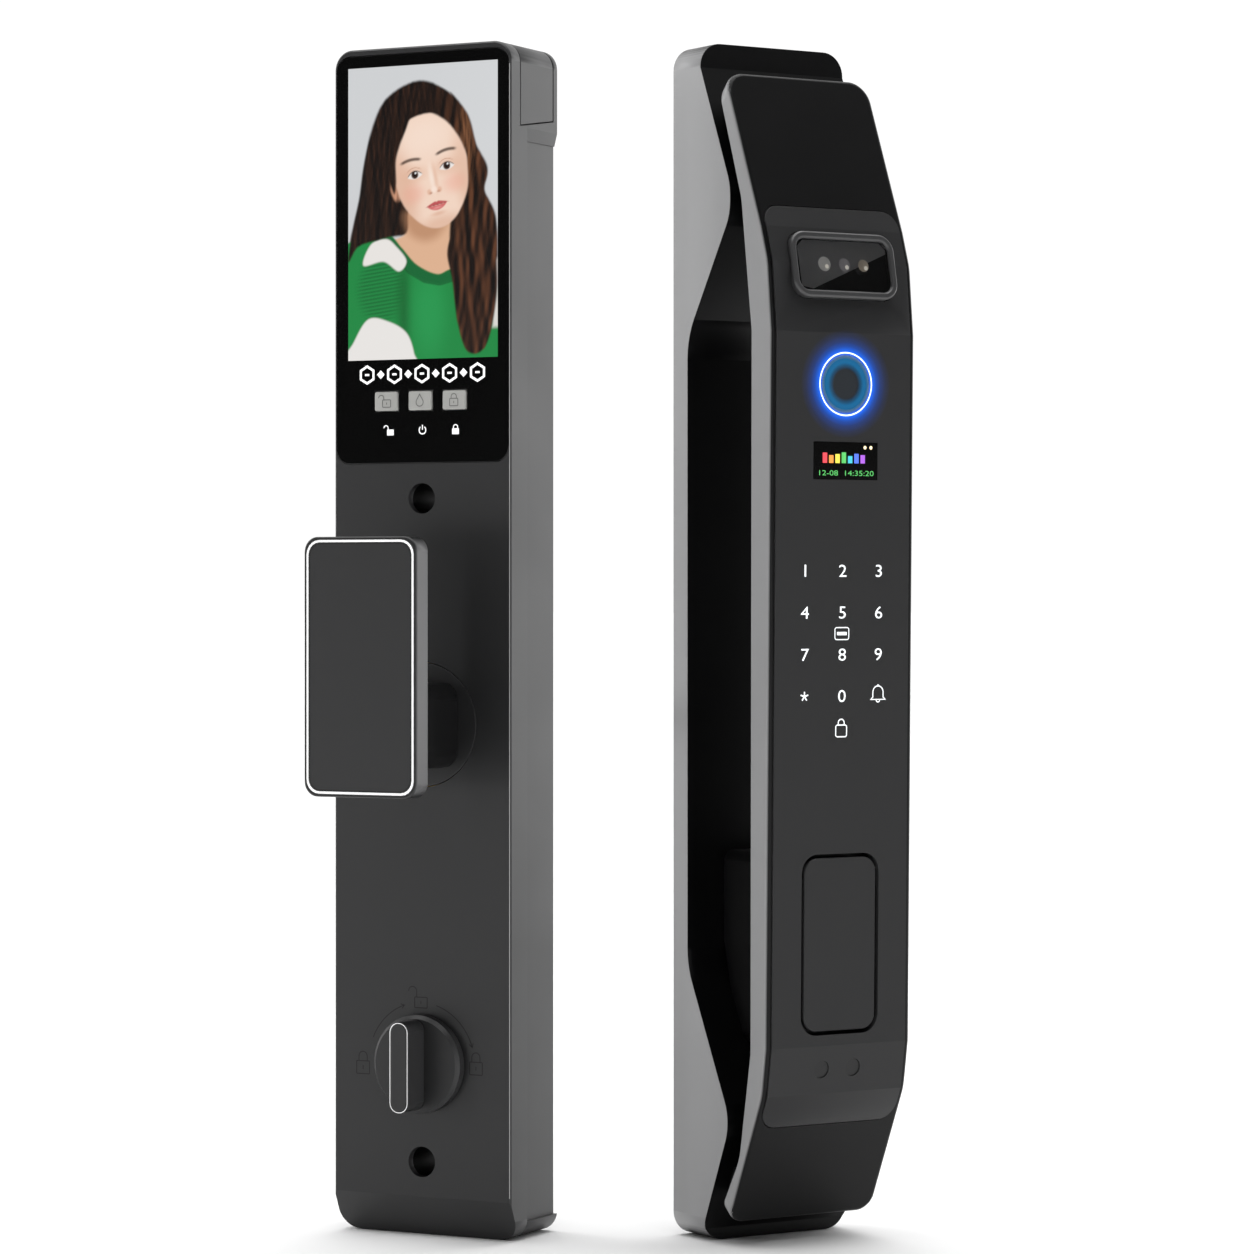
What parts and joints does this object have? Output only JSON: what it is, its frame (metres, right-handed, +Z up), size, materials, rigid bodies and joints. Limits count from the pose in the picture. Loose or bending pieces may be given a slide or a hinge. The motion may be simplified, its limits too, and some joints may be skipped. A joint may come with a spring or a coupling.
{
  "type": "keypad smart lock",
  "caption": "Two-unit electronic door lock: tall inside unit with screen, pull plate and thumb turn, and outside grip handle with keypad, fingerprint sensor, camera and key flap.",
  "frame": {"origin": "middle of the footprint of both units, on the surface they stand on", "axes": "+Z up; both fronts look towards -Y, the inside unit (at -X) turned 27.2 degrees to its own right and the outside unit (at +X) turned 32 degrees to its own left, as set out for display"},
  "size_m": [0.2038, 0.1112, 0.4044],
  "materials": {
    "satin_black_shell": "satin",
    "side_shell": "satin",
    "black_glass": "gloss",
    "camera_window": "gloss",
    "lens": "gloss",
    "soft_key": "matte",
    "bright_trim": "polished",
    "sensor_light": "gloss",
    "sensor_face": "gloss",
    "dark_plastic": "matte",
    "steel": "brushed",
    "brass": "turned",
    "rubber": "matte",
    "board": "satin",
    "copper_coil": "satin",
    "white_plastic": "matte"
  },
  "bodies": {
    "root": {"inner_front_shell": "satin_black_shell", "inner_rear_case": "side_shell", "inner_back_plate": "dark_plastic", "inner_case_screws": "steel", "battery_pack": "dark_plastic", "inner_glass_panel": "black_glass", "inner_display": "black_glass", "inner_circuit_board": "board", "soft_key_domes": "board", "bolt_sleeves": "steel", "handle_bush": "brass", "handle_return_spring": "steel", "thumbturn_bush": "brass", "outer_base": "side_shell", "outer_back_plate": "dark_plastic", "outer_door_seal": "rubber", "mounting_posts": "steel", "tamper_spring": "steel", "cable_grommet": "rubber", "upper_handle_neck": "dark_plastic", "lower_handle_neck": "dark_plastic", "outer_handle": "side_shell", "outer_front_cover": "satin_black_shell", "camera_bezel": "black_glass", "camera_glass": "camera_window", "infrared_lamp": "lens", "colour_camera": "lens", "depth_camera": "lens", "fingerprint_ring": "sensor_light", "fingerprint_sensor": "sensor_face", "outer_display": "black_glass", "keypad_board": "board", "card_antenna": "copper_coil", "power_contacts": "steel", "cylinder_boss": "dark_plastic", "lock_cylinder": "brass", "key_cover_pin": "steel"},
    "lever": {"handle_rose": "satin_black_shell", "handle_stem": "satin_black_shell", "pull_plate": "satin_black_shell", "pull_plate_trim": "bright_trim", "handle_hub": "steel", "handle_circlip": "steel", "handle_spindle": "steel"},
    "thumbturn": {"thumbturn_disc": "satin_black_shell", "thumbturn_grip": "satin_black_shell", "thumbturn_shaft": "steel", "thumbturn_tailpiece": "steel", "thumbturn_clip": "steel"},
    "unlock_button": {"unlock_key": "soft_key"},
    "power_button": {"power_key": "soft_key"},
    "lock_button": {"lock_key": "soft_key"},
    "battery_lid": {"battery_cover": "side_shell"},
    "key_flap": {"key_cover": "satin_black_shell"},
    "key_barrel": {"key_plug": "brass", "plug_tailpiece": "steel", "plug_clip": "steel"},
    "tamper_pin": {"tamper_plunger": "white_plastic"}
  },
  "joints": [
    {"name": "lever_turn", "type": "hinge", "parent": "root", "child": "lever", "pos_m": [-0.05817, 0.00215, 0.1738], "axis": [-0.4571, -0.8894, 0], "range_deg": [-50, 50], "stiffness_Nm_per_rad": 1.2},
    {"name": "thumbturn_turn", "type": "hinge", "parent": "root", "child": "thumbturn", "pos_m": [-0.05817, 0.00215, 0.0587], "axis": [-0.4571, -0.8894, 0], "range_deg": [-90, 90]},
    {"name": "unlock_key_press", "type": "slide", "parent": "root", "child": "unlock_button", "axis": [0.4571, 0.8894, 0], "range_m": [0, 0.0005], "stiffness_N_per_m": 1500},
    {"name": "power_key_press", "type": "slide", "parent": "root", "child": "power_button", "axis": [0.4571, 0.8894, 0], "range_m": [0, 0.0005], "stiffness_N_per_m": 1500},
    {"name": "lock_key_press", "type": "slide", "parent": "root", "child": "lock_button", "axis": [0.4571, 0.8894, 0], "range_m": [0, 0.0005], "stiffness_N_per_m": 1500},
    {"name": "battery_cover_lift", "type": "slide", "parent": "root", "child": "battery_lid", "axis": [0, 0, 1], "range_m": [0, 0.045]},
    {"name": "key_cover_swing", "type": "hinge", "parent": "root", "child": "key_flap", "pos_m": [0.07528, -0.03468, 0.1264], "axis": [-0.848, -0.5299, 0], "range_deg": [0, 95]},
    {"name": "key_plug_turn", "type": "hinge", "parent": "root", "child": "key_barrel", "pos_m": [0.06205, -0.01351, 0.096], "axis": [0.5299, -0.848, 0], "range_deg": [-90, 90]},
    {"name": "tamper_plunger_press", "type": "slide", "parent": "root", "child": "tamper_pin", "axis": [0.5299, -0.848, 0], "range_m": [0, 0.0024], "stiffness_N_per_m": 150}
  ]
}
